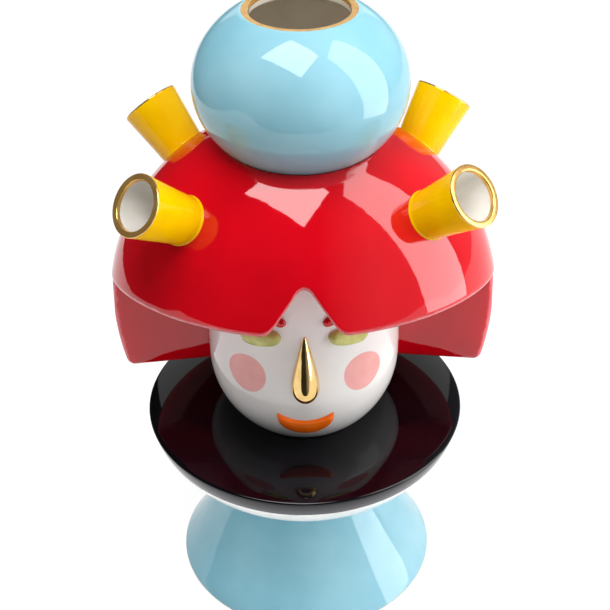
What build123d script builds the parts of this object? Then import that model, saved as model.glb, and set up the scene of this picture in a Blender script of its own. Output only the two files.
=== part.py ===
"""A face vase of slip-cast, glazed earthenware: a doll's head under a dome of hair,
standing in a shallow dish on a flared foot, with a bun on the crown and four flower
tubes round it. Every casting is hollow, and each one seats in or on its neighbour
with a thin luting gap. Millimetres, +Z up, the floor at Z 0, the face looking along -Y."""

import os
from math import asin, cos, hypot, pi, radians, sin, sqrt

from build123d import *

# Walls of the castings, and the luting gap left at every seat
WALL = 6.0
HEAD_WALL = 5.0
LUTING = 0.3
EDGE_ROUND = 1.5
LIP_ROUND = 2.0

# How many sections shape the lofted dome, and how many spans the bun's outline
DOME_SECTIONS = 8
BALL_SPANS = 10

# Foot: a straight flared cone, open below
FOOT_BASE_R = 109.7
FOOT_HEIGHT = 104.0
NECK_R = 42.0
SPIGOT_LENGTH = 10.0

# Dish: a hollow disc with a rolled rim and a gently domed floor
DISH_RIM_R = 129.3
DISH_RIM_Z = 162.5
DISH_BEAD_R = 2.8
DISH_BEAD_LEAN = 0.5
DISH_UNDER_R = 60.0
DISH_FLOOR_R = 60.0
DISH_FLOOR_Z = 158.0
DISH_TROUGH_R = 113.0
DISH_TROUGH_Z = 153.4

# Head: an upright capsule, its lower end round and its top open inside the hair
HEAD_R = 76.0
HEAD_ROUND_Z = 216.5
HEAD_SEAT_DEPTH = 3.0
HEAD_TOP_Z = 357.0
HEAD_FLANGE = 8.0

# Hair: an oval dome whose front is cut away below the fringe, with a notch over the nose
HAIR_HALF_WIDTH = 151.0
HAIR_HALF_DEPTH = 128.5
HAIR_HEM_HALF_WIDTH = 143.0
HAIR_HEM_Z = 199.0
HAIR_WIDEST_Z = 259.0
HAIR_APEX_Z = 419.0
HAIR_CROWN_ANGLE = 69.0
HAIR_EDGE_ROUND = 3.0
HAIR_HEM_ROUND = 6.0
FRINGE_FRONT_Z = 308.0
FRINGE_SIDE_Z = 284.3
NOTCH_PEAK_Z = 344.8
NOTCH_HALF_WIDTH = 26.0
NOTCH_PEAK_ROUND = 6.0
NOTCH_FOOT_ROUND = 8.0
SIDE_WALL_OUTER_Y = -1.0
SIDE_WALL_INNER_Y = 8.0

# Bun: a flattened ball with a round mouth
BUN_R = 77.5
BUN_HALF_HEIGHT = 64.0
BUN_MID_Z = 446.0
BUN_TOP_Z = 500.0
BUN_MOUTH_R = 35.0

# Flower tubes: flared, leaning out from the crown
TUBE_SEAT_R = 105.0
TUBE_SEAT_Z = 367.4
TUBE_LENGTH = 44.8
TUBE_LEAN = 40.0
TUBE_MOUTH_R = 22.75
TUBE_SEAT_OUTER_R = 17.55
TUBE_MOUTH_BORE_R = 18.0
TUBE_SPIGOT_R = 14.5
TUBE_SPIGOT_BORE_R = 10.0
TUBE_SPIGOT_LENGTH = 14.0
TUBE_TURN = 34.0
TUBE_TURNS = {
    "front_left": 180 + TUBE_TURN,
    "front_right": -TUBE_TURN,
    "back_left": 180 - TUBE_TURN,
    "back_right": TUBE_TURN,
}

# Raised features of the face
NOSE_TOP_Z = 279.0
NOSE_LENGTH = 54.0
NOSE_R = 10.6
NOSE_TIP_R = 1.2
NOSE_STAND_OUT = 5.5
RELIEF = 2.8
LIP_HALF_WIDTH = 21.6
LIP_CORNER_Z = 203.0
LIP_UPPER_Z = 196.6
LIP_LOWER_Z = 179.3
LID_INNER = (17.5, 277.0)
LID_OUTER = (48.0, 268.5)
LID_LOWER = (31.0, 265.0)
LID_UPPER = (34.0, 284.0)
BROW_INNER = (17.5, 288.5)
BROW_MIDDLE = (34.0, 295.0)
BROW_OUTER = (52.0, 290.0)
BROW_WIDTH = 8.0


def turned(*edges):
    """A solid of revolution about Z from a closed outline of (radius, height) edges."""
    return revolve(Plane.XZ * make_face(edges), Axis.Z)


def post(radius, low, high):
    """An upright cylinder on the vase's axis between two heights."""
    return Pos(0, 0, low) * Cylinder(radius, high - low, align=(Align.CENTER, Align.CENTER, Align.MIN))


def foot():
    """Flared cone with an even wall, a flat foot ring and an open neck."""
    flare = FOOT_BASE_R - NECK_R
    wall_across = WALL * hypot(flare, FOOT_HEIGHT) / FOOT_HEIGHT
    cone = turned(
        Polyline(
            (FOOT_BASE_R - wall_across, 0),
            (FOOT_BASE_R, 0),
            (NECK_R, FOOT_HEIGHT),
            (NECK_R - wall_across, FOOT_HEIGHT),
            close=True,
        )
    )
    outer_base = cone.edges().filter_by(GeomType.CIRCLE).sort_by(SortBy.RADIUS)[-1]
    return cone.fillet(EDGE_ROUND, [outer_base]), NECK_R - wall_across


def dish(neck_bore):
    """Hollow disc: rolled rim, domed floor with a seat for the head, and a spigot for the foot."""
    under_z = FOOT_HEIGHT + LUTING
    bead_z = DISH_RIM_Z - DISH_BEAD_R
    reach = DISH_RIM_R - DISH_UNDER_R
    rise = bead_z - under_z
    curve_r = (reach**2 + rise**2) / (2 * rise)
    roof_z = DISH_TROUGH_Z - WALL
    roof_r = DISH_UNDER_R + sqrt((curve_r - WALL) ** 2 - (under_z + curve_r - roof_z) ** 2)
    bead_inner_r = DISH_RIM_R - 2 * DISH_BEAD_R
    spigot_r = neck_bore - LUTING
    body = turned(
        Polyline((0, DISH_FLOOR_Z), (0, under_z), (DISH_UNDER_R, under_z)),
        TangentArc((DISH_UNDER_R, under_z), (DISH_RIM_R, bead_z), tangent=(1, 0)),
        ThreePointArc((DISH_RIM_R, bead_z), (DISH_RIM_R - DISH_BEAD_R, DISH_RIM_Z), (bead_inner_r, bead_z)),
        Spline(
            (bead_inner_r, bead_z),
            (DISH_TROUGH_R, DISH_TROUGH_Z),
            (DISH_FLOOR_R, DISH_FLOOR_Z),
            tangents=((-DISH_BEAD_LEAN, -1), (-1, 0)),
        ),
        Line((DISH_FLOOR_R, DISH_FLOOR_Z), (0, DISH_FLOOR_Z)),
    )
    hollow = turned(
        Polyline((0, roof_z), (0, under_z + WALL), (DISH_UNDER_R, under_z + WALL)),
        TangentArc((DISH_UNDER_R, under_z + WALL), (roof_r, roof_z), tangent=(1, 0)),
        Line((roof_r, roof_z), (0, roof_z)),
    )
    spigot = post(spigot_r, under_z - SPIGOT_LENGTH, under_z + WALL)
    drain = post(spigot_r - WALL, under_z - SPIGOT_LENGTH, under_z + WALL)
    return body + spigot - hollow - drain - capsule(LUTING)


def head_base_z():
    """Height of the head's flat base, sunk a little into the dish's floor."""
    return DISH_FLOOR_Z - HEAD_SEAT_DEPTH + LUTING


def capsule(grow=0.0, top=HEAD_TOP_Z):
    """The head's outer form, grown all round: round below, flat on its base, upright above."""
    radius = HEAD_R + grow
    base_z = head_base_z() - grow
    base_r = sqrt(radius**2 - (HEAD_ROUND_Z - base_z) ** 2)
    return turned(
        Polyline((0, top + grow), (0, base_z), (base_r, base_z)),
        TangentArc((radius, HEAD_ROUND_Z), (base_r, base_z), tangent=(0, -1)),
        Polyline((radius, HEAD_ROUND_Z), (radius, top + grow), (0, top + grow)),
    )


def head():
    """Hollow capsule, closed below and open at its top."""
    return capsule() - capsule(-HEAD_WALL, HEAD_TOP_Z + 2 * HEAD_WALL)


def dome(inset=0.0):
    """The hair's oval dome, moved in by inset: ellipses lofted up to a level crown that the bun covers."""
    half_width = HAIR_HALF_WIDTH - inset
    half_depth = HAIR_HALF_DEPTH - inset
    low_z = HAIR_HEM_Z + inset
    climb = HAIR_APEX_Z - inset - HAIR_WIDEST_Z
    draw_in = (HAIR_HALF_WIDTH - HAIR_HEM_HALF_WIDTH) / HAIR_HALF_WIDTH
    levels = [(low_z, 1 - draw_in), ((low_z + HAIR_WIDEST_Z) / 2, 1 - draw_in / 4)]
    for step in range(DOME_SECTIONS):
        turn = radians(HAIR_CROWN_ANGLE * step / (DOME_SECTIONS - 1))
        levels.append((HAIR_WIDEST_Z + climb * sin(turn), cos(turn)))
    return loft([Pos(0, 0, z) * Ellipse(share * half_width, share * half_depth) for z, share in levels])


def face_opening(inset=0.0):
    """What is cut from the dome's front: all below the fringe, ahead of the side walls, and the notch."""
    span = 2 * HAIR_HALF_WIDTH
    drop = FRINGE_FRONT_Z - FRINGE_SIDE_Z
    arc_r = (HAIR_HALF_DEPTH**2 + drop**2) / (2 * drop)
    back_y = HEAD_R / 2
    back_z = FRINGE_FRONT_Z - arc_r + sqrt(arc_r**2 - (back_y + HAIR_HALF_DEPTH) ** 2)
    low_z = HAIR_HEM_Z - HAIR_HALF_WIDTH
    under_fringe = make_face(
        [
            TangentArc((-HAIR_HALF_DEPTH, FRINGE_FRONT_Z + inset), (back_y, back_z + inset), tangent=(1, 0)),
            Polyline(
                (back_y, back_z + inset),
                (back_y, low_z),
                (-span, low_z),
                (-span, FRINGE_FRONT_Z + inset),
                (-HAIR_HALF_DEPTH, FRINGE_FRONT_Z + inset),
            ),
        ]
    )
    slope = (SIDE_WALL_INNER_Y - SIDE_WALL_OUTER_Y) / (HAIR_HEM_HALF_WIDTH - HEAD_R)
    middle_y = SIDE_WALL_INNER_Y + slope * HEAD_R + inset
    outer_y = SIDE_WALL_OUTER_Y - slope * (span - HAIR_HEM_HALF_WIDTH) + inset
    ahead = make_face(
        Polyline((-span, outer_y), (0, middle_y), (span, outer_y), (span, -span), (-span, -span), close=True)
    )
    notch_depth = NOTCH_PEAK_Z - FRINGE_FRONT_Z
    notch = make_face(
        Polyline(
            (0, NOTCH_PEAK_Z),
            (2 * NOTCH_HALF_WIDTH, NOTCH_PEAK_Z - 2 * notch_depth),
            (-2 * NOTCH_HALF_WIDTH, NOTCH_PEAK_Z - 2 * notch_depth),
            close=True,
        )
    )
    if inset:
        notch = offset(notch, inset, kind=Kind.INTERSECTION)
    notch = fillet(notch.vertices().sort_by(Axis.Y)[-1], NOTCH_PEAK_ROUND + inset)
    side = extrude(Plane.YZ * under_fringe, span, both=True)
    plan = extrude(Pos(0, 0, low_z) * ahead, HAIR_APEX_Z - low_z)
    groove = extrude(Plane.XZ.offset(HEAD_R / 2) * notch, span)
    return side & plan, groove


def ball_arc(inset, top_z):
    """The bun's flattened ball in outline, moved in by inset, from its lowest point up to a height."""
    radius = BUN_R - inset
    half_height = BUN_HALF_HEIGHT - inset
    climb = asin((top_z - BUN_MID_Z) / half_height)
    steps = [step / BALL_SPANS for step in range(BALL_SPANS + 1)]
    turns = [climb * share - (1 - share) * pi / 2 for share in steps]
    points = [(radius * cos(turn), BUN_MID_Z + half_height * sin(turn)) for turn in turns[1:]]
    ends = [(-radius * sin(turn), half_height * cos(turn)) for turn in (turns[0], turns[-1])]
    return Spline((0, BUN_MID_Z - half_height), *points, tangents=ends)


def bun_seat():
    """The lower half of the bun grown by the luting gap, to cut its seat in the crown."""
    side = ball_arc(-LUTING, BUN_MID_Z)
    return turned(side, Polyline(side @ 1, (0, BUN_MID_Z), side @ 0))


def bun():
    """Flattened ball, hollow, cut level at the top for a round mouth with a short throat."""
    throat_share = BUN_MOUTH_R / (BUN_R - WALL)
    throat_z = BUN_MID_Z + (BUN_HALF_HEIGHT - WALL) * sqrt(1 - throat_share**2)
    outer = ball_arc(0, BUN_TOP_Z)
    inner = ball_arc(WALL, throat_z)
    shell = turned(
        outer,
        Polyline(outer @ 1, (BUN_MOUTH_R, BUN_TOP_Z), inner @ 1),
        inner,
        Line(inner @ 0, outer @ 0),
    )
    lip = shell.edges().filter_by(GeomType.CIRCLE).group_by(Axis.Z)[-1]
    return shell.fillet(LIP_ROUND, lip)


def tube_place(turn):
    """Frame of one flower tube: origin where its axis meets the hair, Z out along the axis."""
    away = (cos(radians(turn)), sin(radians(turn)))
    lean = radians(TUBE_LEAN)
    seat = (TUBE_SEAT_R * away[0], TUBE_SEAT_R * away[1], TUBE_SEAT_Z)
    axis = (away[0] * cos(lean), away[1] * cos(lean), sin(lean))
    return Plane(origin=seat, x_dir=(-away[1], away[0], 0), z_dir=axis)


def tube_hole():
    """The round hole through the hair that takes a tube's spigot."""
    return Pos(0, 0, -TUBE_LENGTH / 2) * Cylinder(TUBE_SPIGOT_R + LUTING, TUBE_LENGTH)


def tube(turn):
    """Flared tube: a cone cut to the curve of the hair, with a spigot through it and a tapered bore."""
    flare = (TUBE_MOUTH_R - TUBE_SEAT_OUTER_R) / TUBE_LENGTH
    root = TUBE_SPIGOT_LENGTH
    cone = turned(
        Polyline(
            (0, -root),
            (TUBE_SEAT_OUTER_R - flare * root, -root),
            (TUBE_MOUTH_R, TUBE_LENGTH),
            (0, TUBE_LENGTH),
            close=True,
        )
    )
    bore = turned(
        Polyline(
            (0, -root),
            (TUBE_SPIGOT_BORE_R, -root),
            (TUBE_MOUTH_BORE_R, TUBE_LENGTH),
            (0, TUBE_LENGTH),
            close=True,
        )
    )
    spigot = Pos(0, 0, -root / 2) * Cylinder(TUBE_SPIGOT_R, root)
    place = tube_place(turn)
    horn = place * cone - dome(-LUTING)
    horn = horn.solids().sort_by(SortBy.VOLUME)[-1] + place * spigot - place * bore
    lip = horn.edges().filter_by(GeomType.CIRCLE).sort_by(SortBy.DISTANCE)[-2:]
    return horn.fillet(LIP_ROUND, lip)


def soften(form):
    """The hair's form with its hem, its notch feet and its fringe rounded, as thick glaze leaves them."""
    hem = form.edges().group_by(Axis.Z)[0].filter_by(GeomType.BSPLINE)
    form = form.fillet(HAIR_HEM_ROUND, hem)
    ridges = form.edges().filter_by(GeomType.ELLIPSE)
    feet = [edge for edge in ridges if (edge @ 0.5).Y < -HEAD_R - WALL]
    form = form.fillet(NOTCH_FOOT_ROUND, feet)
    skin = form.faces().sort_by(SortBy.AREA)[-1]
    rims = [edge for edge in skin.edges() if (edge @ 0.5).Y < -HEAD_R / 2]
    return form.fillet(HAIR_EDGE_ROUND, rims)


def hair(tube_turns):
    """One hollow casting: dome, fringe and side walls, with a well for the head and seats above."""
    opening, notch = face_opening()
    inner_opening, inner_notch = face_opening(WALL)
    well_top = HEAD_TOP_Z + LUTING
    low_z = HAIR_HEM_Z - WALL
    form = dome() - opening - notch - post(HEAD_R + LUTING, low_z, well_top)
    form = soften(form)
    hollow = dome(WALL) - inner_opening - inner_notch
    hollow -= post(HEAD_R + LUTING + WALL, low_z, well_top + WALL)
    casting = form - hollow
    casting -= post(HEAD_R - HEAD_FLANGE, well_top, well_top + WALL)
    casting -= bun_seat()
    for turn in tube_turns:
        casting -= tube_place(turn) * tube_hole()
    return casting


def nose():
    """Teardrop with its point at the top, leaning out from the face and cut to the head's curve."""
    straight = NOSE_LENGTH - NOSE_R
    drop = turned(
        Line((NOSE_TIP_R, 0), (NOSE_R, -straight)),
        TangentArc((NOSE_R, -straight), (0, -NOSE_LENGTH), tangent=(0, -1)),
        Polyline((0, -NOSE_LENGTH), (0, 0), (NOSE_TIP_R, 0)),
    )
    lean = NOSE_STAND_OUT / straight
    place = Plane(origin=(0, -HEAD_R, NOSE_TOP_Z), x_dir=(1, 0, 0), z_dir=(0, lean, 1))
    return place * drop - capsule(LUTING)


def relief(outline):
    """A raised feature: its outline seen from the front, carried back onto the head's curve."""
    block = extrude(Plane.XZ * outline, 2 * HEAD_R)
    return (block & capsule(LUTING + RELIEF)) - capsule(LUTING)


def lips():
    """Smiling crescent between two arcs."""
    left = (-LIP_HALF_WIDTH, LIP_CORNER_Z)
    right = (LIP_HALF_WIDTH, LIP_CORNER_Z)
    upper = ThreePointArc(left, (0, LIP_UPPER_Z), right)
    lower = ThreePointArc(right, (0, LIP_LOWER_Z), left)
    return relief(make_face([upper, lower]))


def eyelid():
    """Closed right lid: a leaf between a lower and an upper arc."""
    lower = ThreePointArc(LID_INNER, LID_LOWER, LID_OUTER)
    upper = ThreePointArc(LID_OUTER, LID_UPPER, LID_INNER)
    return relief(make_face([lower, upper]))


def brow():
    """Right brow: an even band along an arc, with round ends."""
    line = ThreePointArc(BROW_INNER, BROW_MIDDLE, BROW_OUTER)
    band = SlotArc(line, BROW_WIDTH)
    return relief(band)


def build():
    """Every piece by its node name."""
    cone, neck_bore = foot()
    lid = eyelid()
    right_brow = brow()
    pieces = {
        "foot": cone,
        "dish": dish(neck_bore),
        "head": head(),
        "hair": hair(TUBE_TURNS.values()),
        "bun": bun(),
        "nose": nose(),
        "lips": lips(),
        "eyelid_right": lid,
        "eyelid_left": mirror(lid, Plane.YZ),
        "brow_right": right_brow,
        "brow_left": mirror(right_brow, Plane.YZ),
    }
    for name, turn in TUBE_TURNS.items():
        pieces[f"flower_tube_{name}"] = tube(turn)
    return pieces


os.makedirs("parts", exist_ok=True)
for node, solid in build().items():
    export_step(solid, f"parts/{node}.step")
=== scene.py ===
import bpy
import numpy as np
from mathutils import Matrix


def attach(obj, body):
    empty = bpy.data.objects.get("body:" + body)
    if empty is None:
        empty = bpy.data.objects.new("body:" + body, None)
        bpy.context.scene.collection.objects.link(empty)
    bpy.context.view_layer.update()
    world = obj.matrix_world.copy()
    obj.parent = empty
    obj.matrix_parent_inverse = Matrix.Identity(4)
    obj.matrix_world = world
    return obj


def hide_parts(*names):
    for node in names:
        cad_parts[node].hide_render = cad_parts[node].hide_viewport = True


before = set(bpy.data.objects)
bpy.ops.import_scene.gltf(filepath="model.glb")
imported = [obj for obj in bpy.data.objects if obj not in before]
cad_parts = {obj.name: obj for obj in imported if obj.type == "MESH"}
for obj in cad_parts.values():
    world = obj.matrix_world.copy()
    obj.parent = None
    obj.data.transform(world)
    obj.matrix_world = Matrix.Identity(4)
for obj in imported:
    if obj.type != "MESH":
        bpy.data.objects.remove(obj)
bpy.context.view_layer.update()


# Foot: a slip-cast earthenware cone, glazed pale blue and open below.
# The glaze is wiped off the ring it stands on, and its neck takes the dish's spigot.
MM = 0.001
FOOT_BASE_R, FOOT_HEIGHT, NECK_R, FOOT_WALL = 109.7, 104.0, 42.0, 7.16
FOOT_INNER_ROUND, FOOT_OUTER_ROUND, NECK_ROUND, WIPED_TO_Z = 1.0, 1.8, 0.6, 1.2
TURN_POINTS = 9
GLAZE_FINE, GLAZE_FINE_HIGH, GLAZE_GLOSSY, GLAZE_DULL = 2.5, 0.0025, 0.025, 0.06
BLUE, BLUE_THIN = "#80B8C9", "#98C8D6"
BISQUE, BISQUE_WORN, BISQUE_ROUGHNESS = "#D9CDBB", "#C4B5A0", 0.85


def linear(colour):
    """An sRGB hex colour as linear red, green, blue and alpha, by the sRGB curve."""
    part = np.array([int(colour[at:at + 2], 16) for at in (1, 3, 5)]) / 255
    return (*np.where(part <= 0.04045, part / 12.92, ((part + 0.055) / 1.055) ** 2.4), 1.0)


def add(tree, kind, inputs, **settings):
    """One shader node with its settings; an input is a value, or another node's output socket."""
    made = tree.nodes.new("ShaderNode" + kind)
    for name, value in settings.items():
        setattr(made, name, value)
    for name, value in inputs.items():
        if isinstance(value, bpy.types.NodeSocket):
            tree.links.new(value, made.inputs[name])
        else:
            made.inputs[name].default_value = value
    return made


def finish_of(name):
    """A new material of that name, with its tree, its shader and its Object coordinates."""
    made = bpy.data.materials.new(name)
    made.use_nodes = True
    tree = made.node_tree
    return made, tree, tree.nodes["Principled BSDF"], add(tree, "TexCoord", {}).outputs["Object"]


def pour_glaze(tree, shader, at, colour, wave_mm=32.0, wave_high_mm=0.16, index=1.52):
    """Fired glaze: two scales of waves left by the melt as bump, and gloss that varies a little.
    Bump height is wave height times noise; noise scale is one over the wave length."""
    shader.inputs["IOR"].default_value = index
    tree.links.new(colour, shader.inputs["Base Color"])
    slow = add(tree, "TexNoise", {"Vector": at, "Scale": 1 / (wave_mm * MM), "Detail": 1.0})
    fine = add(tree, "TexNoise", {"Vector": at, "Scale": 1 / (GLAZE_FINE * MM), "Detail": 1.0})
    bump = add(tree, "Bump", {"Height": slow.outputs[0], "Distance": wave_high_mm * MM})
    skin_bump = add(tree, "Bump", {"Height": fine.outputs[0], "Distance": GLAZE_FINE_HIGH * MM,
                                   "Normal": bump.outputs[0]})
    tree.links.new(skin_bump.outputs[0], shader.inputs["Normal"])
    gloss = add(tree, "MapRange", {"Value": slow.outputs[0], "To Min": GLAZE_GLOSSY, "To Max": GLAZE_DULL})
    tree.links.new(gloss.outputs[0], shader.inputs["Roughness"])


def drift(tree, at, colour, other, patch_mm, low=0.35, high=0.75):
    """Colour that drifts between two tones in soft patches of a size, as glaze runs thick and thin."""
    cloud = add(tree, "TexNoise", {"Vector": at, "Scale": 1 / (patch_mm * MM), "Detail": 3.0})
    share = add(tree, "MapRange", {"Value": cloud.outputs[0], "From Min": low, "From Max": high})
    mix = add(tree, "Mix", {0: share.outputs[0], 6: linear(colour), 7: linear(other)}, data_type="RGBA")
    return mix.outputs[2]


def outline(*corners, step=3.0):
    """A profile in mm from (radius, height, rounding) corners: straight runs with points at most step
    apart, each corner turned by a parabola of a few points that starts its rounding before the corner."""
    points = []
    for number, (radius, height, rounding) in enumerate(corners):
        corner = np.array([radius, height], float)
        if rounding == 0:
            turn = corner[None]
        else:
            ends = [np.array(corners[(number + side) % len(corners)][:2], float) for side in (-1, 1)]
            start, stop = [corner + rounding * (end - corner) / np.hypot(*(end - corner)) for end in ends]
            share = np.linspace(0, 1, TURN_POINTS)[:, None]
            turn = (1 - share) ** 2 * start + 2 * share * (1 - share) * corner + share ** 2 * stop
        if points:
            last, gap = points[-1], turn[0] - points[-1]
            count = max(1, int(np.ceil(np.hypot(*gap) / step)))
            points.extend(last + gap * part / count for part in range(1, count))
        points.extend(turn)
    return np.array(points)


def lathe(profile, columns=160):
    """A profile of (radius, height) rows in mm carried round the upright axis, in metres."""
    angle = np.linspace(0, 2 * np.pi, columns, endpoint=False)
    radius, height = profile[:, :1], profile[:, 1:]
    return MM * np.stack([radius * np.cos(angle), radius * np.sin(angle), height + 0 * angle], -1)


def skin(name, grid, loop=False, paint=None):
    """A smooth mesh object from a grid of points: columns close round, a row that is one point becomes
    a pole, loop joins the last row to the first, and paint gives each band of faces its finish."""
    rows, columns, _ = grid.shape
    index = np.arange(rows * columns).reshape(rows, columns)
    for row in (0, -1):
        if np.ptp(grid[row], axis=0).max() < 1e-9:
            index[row] = index[row, 0]
    low, high = (index, np.roll(index, -1, 0)) if loop else (index[:-1], index[1:])
    faces = np.stack([low, np.roll(low, -1, 1), np.roll(high, -1, 1), high], -1).reshape(-1, 4)
    band = np.repeat(np.arange(len(low)), columns)
    fan_low, fan_high = faces[:, 0] == faces[:, 1], faces[:, 2] == faces[:, 3]
    whole = ~(fan_low | fan_high)
    parts = [faces[whole], faces[fan_low][:, [0, 2, 3]], faces[fan_high][:, [0, 1, 2]]]
    band = np.concatenate([band[whole], band[fan_low], band[fan_high]])
    used, flat = np.unique(np.concatenate([part.ravel() for part in parts]), return_inverse=True)
    cuts = np.cumsum([part.size for part in parts])
    flat = np.split(flat.ravel(), cuts[:-1])
    loops = [corners.reshape(part.shape).tolist() for corners, part in zip(flat, parts)]
    mesh = bpy.data.meshes.new(name)
    mesh.from_pydata(grid.reshape(-1, 3)[used], [], loops[0] + loops[1] + loops[2])
    if paint is not None:
        mesh.polygons.foreach_set("material_index", np.asarray(paint, np.int32)[band])
    mesh.shade_smooth()
    piece = bpy.data.objects.new(name, mesh)
    bpy.context.scene.collection.objects.link(piece)
    return piece


# Pale blue glaze, poured thick: a glassy coat that is lighter where it ran thin.
blue_glaze, tree, shader, at = finish_of("pale_blue_glaze")
pour_glaze(tree, shader, at, drift(tree, at, BLUE, BLUE_THIN, patch_mm=70.0))

# Bare earthenware on the wiped ring: chalky and matt, a little dirty from standing.
bare_ware, tree, shader, at = finish_of("bare_earthenware")
shader.inputs["Roughness"].default_value = BISQUE_ROUGHNESS
tree.links.new(drift(tree, at, BISQUE, BISQUE_WORN, patch_mm=6.0), shader.inputs["Base Color"])

foot_profile = outline(
    (FOOT_BASE_R - FOOT_WALL, 0.0, FOOT_INNER_ROUND), (FOOT_BASE_R, 0.0, FOOT_OUTER_ROUND),
    (NECK_R, FOOT_HEIGHT, NECK_ROUND), (NECK_R - FOOT_WALL, FOOT_HEIGHT, NECK_ROUND))
wiped = foot_profile[:, 1] < WIPED_TO_Z
foot = skin("foot_cone", lathe(foot_profile), loop=True, paint=(wiped & np.roll(wiped, -1)) * 1)
foot.data.materials.append(blue_glaze)
foot.data.materials.append(bare_ware)
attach(foot, "root")
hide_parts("foot")


# Dish: a hollow cast disc whose top swells like a collar round the head, dipped in black glaze down to
# a line under its rim. Below the line it is white, and its spigot is luted into the foot's neck.
RIM_R, RIM_Z, RIM_TURN_R, RIM_DROP = 129.2, 160.2, 127.0, 0.5
UNDER_R, UNDER_Z, UNDER_FLAT_R = 60.0, 104.3, 58.0
SWELL_R, SWELL_Z, SWELL_CURVE = 98.0, 165.3, 127.0
SEAT_R, SEAT_FLOOR_R, SEAT_Z = 50.0, 47.0, 155.0
SPIGOT_R, SPIGOT_Z, SPIGOT_ROUND = 34.5, 94.3, 1.0
DRAIN_R, DRAIN_TOP_Z, DRAIN_ROUND = 28.5, 120.0, 2.0
DIP_LINE_Z, DIP_START, DIP_FULL, DIP_WANDER, DIP_WANDER_HIGH = 145.6, 0.6, 1.0, 35.0, 1.6
BLACK, BLACK_THIN, BLACK_WALL_REFLECTION, BLACK_SPECULAR = "#07060A", "#0E0C12", "#3C3C44", 0.32
WHITE, WHITE_COOL = "#F0EDEA", "#E6E4E2"


def dish_profile():
    """Underside and wall by one arc, a parabola over the rim, then the swell, an arc whose fall is the
    distance from its crown squared over twice its curve, down to the head's seat; the spigot hangs below."""
    rise = RIM_Z - UNDER_Z
    curve = ((RIM_R - UNDER_R) ** 2 + rise ** 2) / (2 * rise)
    top = np.arccos(1 - rise / curve)
    sweep = np.linspace(0, top, 40)
    wall = np.stack([UNDER_R + curve * np.sin(sweep), UNDER_Z + curve * (1 - np.cos(sweep))], -1)
    radius = np.linspace(RIM_TURN_R, SEAT_R, 40)
    swell = np.stack([radius, SWELL_Z - (radius - SWELL_R) ** 2 / (2 * SWELL_CURVE)], -1)
    share = np.linspace(0, 1, 16)[1:-1, None]
    corner = np.array([RIM_R, swell[0, 1] - RIM_DROP])
    rim = (1 - share) ** 2 * wall[-1] + 2 * share * (1 - share) * corner + share ** 2 * swell[0]
    below = outline(
        (0, DRAIN_TOP_Z, 0), (DRAIN_R, DRAIN_TOP_Z, DRAIN_ROUND), (DRAIN_R, SPIGOT_Z, SPIGOT_ROUND),
        (SPIGOT_R, SPIGOT_Z, SPIGOT_ROUND), (SPIGOT_R, UNDER_Z, 0), (UNDER_FLAT_R, UNDER_Z, 0))
    return np.concatenate([below, wall, rim, swell, outline((SEAT_FLOOR_R, SEAT_Z, 0), (0, SEAT_Z, 0))])


# Black over white dip glaze: mirror-black above, and greyer down the outer wall to the dip line, a painted
# reflection of the pale floor. The dip line wanders a little where the bath stood.
dip_glaze, tree, shader, at = finish_of("black_dip_glaze")
height = add(tree, "SeparateXYZ", {0: at}).outputs["Z"]
wander = add(tree, "TexNoise", {"Vector": at, "Scale": 1 / (DIP_WANDER * MM), "Detail": 2.0})
level = add(tree, "Math", {0: wander.outputs[0], 1: DIP_WANDER_HIGH * MM, 2: height},
            operation="MULTIPLY_ADD")
dipped = add(tree, "MapRange", {"Value": level.outputs[0], "From Min": (DIP_LINE_Z + DIP_START) * MM,
                                "From Max": (DIP_LINE_Z + DIP_FULL) * MM})
# Painted reflection: the black turns grey from the rim down the outer wall to the dip line.
wall_reflection = add(tree, "MapRange", {"Value": height, "From Min": RIM_Z * MM, "From Max": DIP_LINE_Z * MM})
black_coat = add(tree, "Mix", {0: wall_reflection.outputs[0], 6: drift(tree, at, BLACK, BLACK_THIN, patch_mm=50.0),
                               7: linear(BLACK_WALL_REFLECTION)}, data_type="RGBA")
coat = add(tree, "Mix", {0: dipped.outputs[0], 6: drift(tree, at, WHITE, WHITE_COOL, patch_mm=40.0),
                         7: black_coat.outputs[2]}, data_type="RGBA")
pour_glaze(tree, shader, at, coat.outputs[2], wave_mm=60.0, wave_high_mm=0.1)
shader.inputs["Specular IOR Level"].default_value = BLACK_SPECULAR

dish = skin("dish_body", lathe(dish_profile(), columns=200))
dish.data.materials.append(dip_glaze)
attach(dish, "root")
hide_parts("dish")


# Head: an upright cast capsule in white glaze, luted into the dish's floor and into the hair's well.
# The cheeks are two flat tilted ovals of pink enamel, painted on and fired again.
HEAD_R, HEAD_ROUND_Z, HEAD_BASE_Z, HEAD_TOP_Z, HEAD_TOP_ROUND = 76.0, 216.5, 155.3, 357.0, 3.0
ROW_ABOVE, ROW_INSIDE = 3.0, 2.0
CHEEK_X, CHEEK_Z, CHEEK_HALF_WIDTH, CHEEK_HALF_HEIGHT = 43.7, 235.2, 14.1, 17.4
CHEEK_TILT, CHEEK_EDGE = 9.5, 0.02
PINK, PINK_DEEP = "#F0AAA5", "#EBA09B"


def head_profile():
    """A flat base, a ball of the head's radius up to its widest height, then upright to the top. The next
    rows start a little inside the ball's first one and above its last."""
    low = -np.arcsin((HEAD_ROUND_Z - HEAD_BASE_Z) / HEAD_R)
    sweep = np.linspace(low, 0, 40)
    ball = np.stack([HEAD_R * np.cos(sweep), HEAD_ROUND_Z + HEAD_R * np.sin(sweep)], -1)
    wall = outline((HEAD_R, HEAD_ROUND_Z + ROW_ABOVE, 0), (HEAD_R, HEAD_TOP_Z, HEAD_TOP_ROUND),
                   (0, HEAD_TOP_Z, 0))
    base = outline((0, HEAD_BASE_Z, 0), (ball[0, 0] - ROW_INSIDE, HEAD_BASE_Z, 0))
    return np.concatenate([base, ball, wall])


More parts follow.
